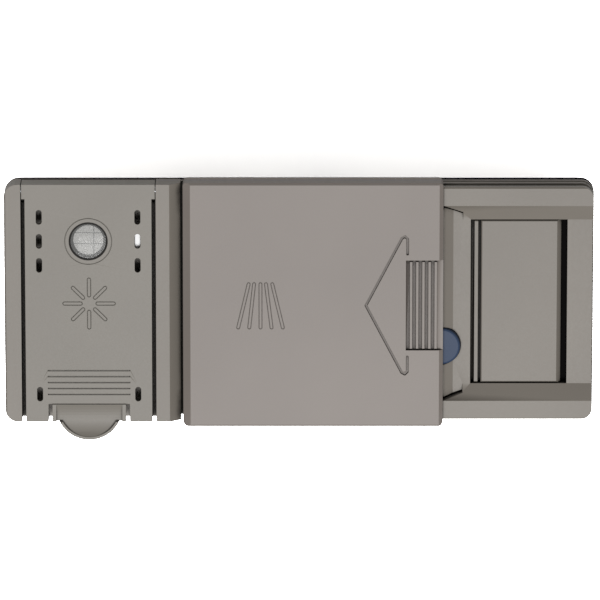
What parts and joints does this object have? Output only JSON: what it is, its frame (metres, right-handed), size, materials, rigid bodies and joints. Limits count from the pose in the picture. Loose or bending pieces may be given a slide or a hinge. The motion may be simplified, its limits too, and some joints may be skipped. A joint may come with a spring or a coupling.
{
  "type": "dishwasher detergent dispenser",
  "caption": "Dishwasher detergent dispenser with a sliding detergent cover, release button, hinged rinse-aid lid with sight window, and a solenoid latch behind.",
  "frame": {"origin": "middle of the clamp screw pattern, in the plane where the flange's back meets its gasket", "axes": "+X along the dispenser from the rinse-aid lid to the pocket, the way the detergent cover opens; +Y towards the lid's hinge; +Z out of the face into the tub of the machine"},
  "size_m": [0.23, 0.1037, 0.049],
  "materials": {
    "frame_plastic": "fine matt moulded polypropylene",
    "cover_plastic": "fine matt moulded polypropylene",
    "lid_plastic": "fine matt moulded polypropylene",
    "panel_plastic": "fine matt moulded polypropylene",
    "tank_plastic": "plain moulded polypropylene",
    "housing_plastic": "plain moulded polypropylene",
    "black_rubber": "soft black moulded rubber",
    "grey_rubber": "soft dark grey moulded rubber",
    "button_plastic": "satin blue-grey moulding",
    "lever_plastic": "plain natural acetal",
    "dial_plastic": "plain moulded plastic",
    "white_plastic": "satin white moulding",
    "ring_plastic": "satin dark moulding",
    "clear_plastic": "clear moulded window",
    "bobbin_plastic": "plain glass-filled nylon",
    "winding_copper": "enamelled copper wire",
    "plain_steel": "plain machined steel",
    "yoke_steel": "zinc-plated sheet steel",
    "spring_steel": "bright spring wire",
    "rod_brass": "plain brass rod",
    "tab_metal": "tinned brass tab"
  },
  "bodies": {
    "base": {"front_frame": "frame_plastic", "door_gasket": "black_rubber", "detergent_tub": "tank_plastic", "rinse_tank": "tank_plastic", "pocket_panel": "panel_plastic", "panel_strip": "black_rubber", "lever_pin": "plain_steel", "level_prism": "clear_plastic", "vent_plug": "white_plastic", "actuator_housing": "housing_plastic", "housing_screws": "plain_steel", "solenoid_yoke": "yoke_steel", "coil_bobbin": "bobbin_plastic", "coil_winding": "winding_copper", "terminal_tabs": "tab_metal", "plunger_spring": "spring_steel", "cover_spring": "spring_steel", "lever_spring": "spring_steel", "rod_seal": "black_rubber"},
    "cover": {"slide_cover": "cover_plastic", "cover_seal": "grey_rubber"},
    "lid": {"rinse_lid": "lid_plastic", "sight_window": "clear_plastic", "window_ring": "ring_plastic", "lid_seal": "black_rubber", "lid_hinge_pins": "plain_steel"},
    "button": {"release_button": "button_plastic"},
    "latch": {"latch_lever": "lever_plastic"},
    "solenoid_core": {"plunger": "plain_steel", "push_rod": "rod_brass"},
    "dosing_valve": {"dosing_rod": "lever_plastic", "valve_disc": "black_rubber"},
    "dial": {"dosing_dial": "dial_plastic"}
  },
  "joints": [
    {"name": "cover_slide", "type": "slide", "parent": "base", "child": "cover", "axis": [1, 0, 0], "range_m": [0, 0.0585], "deforming": ["cover_spring"]},
    {"name": "lid_hinge", "type": "hinge", "parent": "base", "child": "lid", "pos_m": [-0.0822, 0.0445, 0.008], "axis": [-1, 0, 0], "range_deg": [0, 110]},
    {"name": "button_press", "type": "slide", "parent": "base", "child": "button", "axis": [0, 0, -1], "range_m": [0, 0.0035], "stiffness_N_per_m": 800, "springref_m": -0.003, "deforming": ["lever_spring"]},
    {"name": "latch_pivot", "type": "hinge", "parent": "base", "child": "latch", "pos_m": [0.022, -0.008, 0], "axis": [0, 1, 0], "range_deg": [0, 5.96]},
    {"name": "plunger_slide", "type": "slide", "parent": "base", "child": "solenoid_core", "axis": [-1, 0, 0], "range_m": [0, 0.00198], "deforming": ["plunger_spring"]},
    {"name": "rod_slide", "type": "slide", "parent": "base", "child": "dosing_valve", "axis": [-1, 0, 0], "range_m": [0, 0.00302]},
    {"name": "dial_turn", "type": "hinge", "parent": "base", "child": "dial", "pos_m": [-0.0822, 0.0055, 0.005], "axis": [0, 0, 1], "range_deg": [0, 150]}
  ],
  "couplings": [
    {"joint": "latch_pivot", "follows": "button_press", "rad_per_m": 29.674},
    {"joint": "plunger_slide", "follows": "button_press", "ratio": 0.5638},
    {"joint": "rod_slide", "follows": "button_press", "ratio": 0.8605}
  ]
}
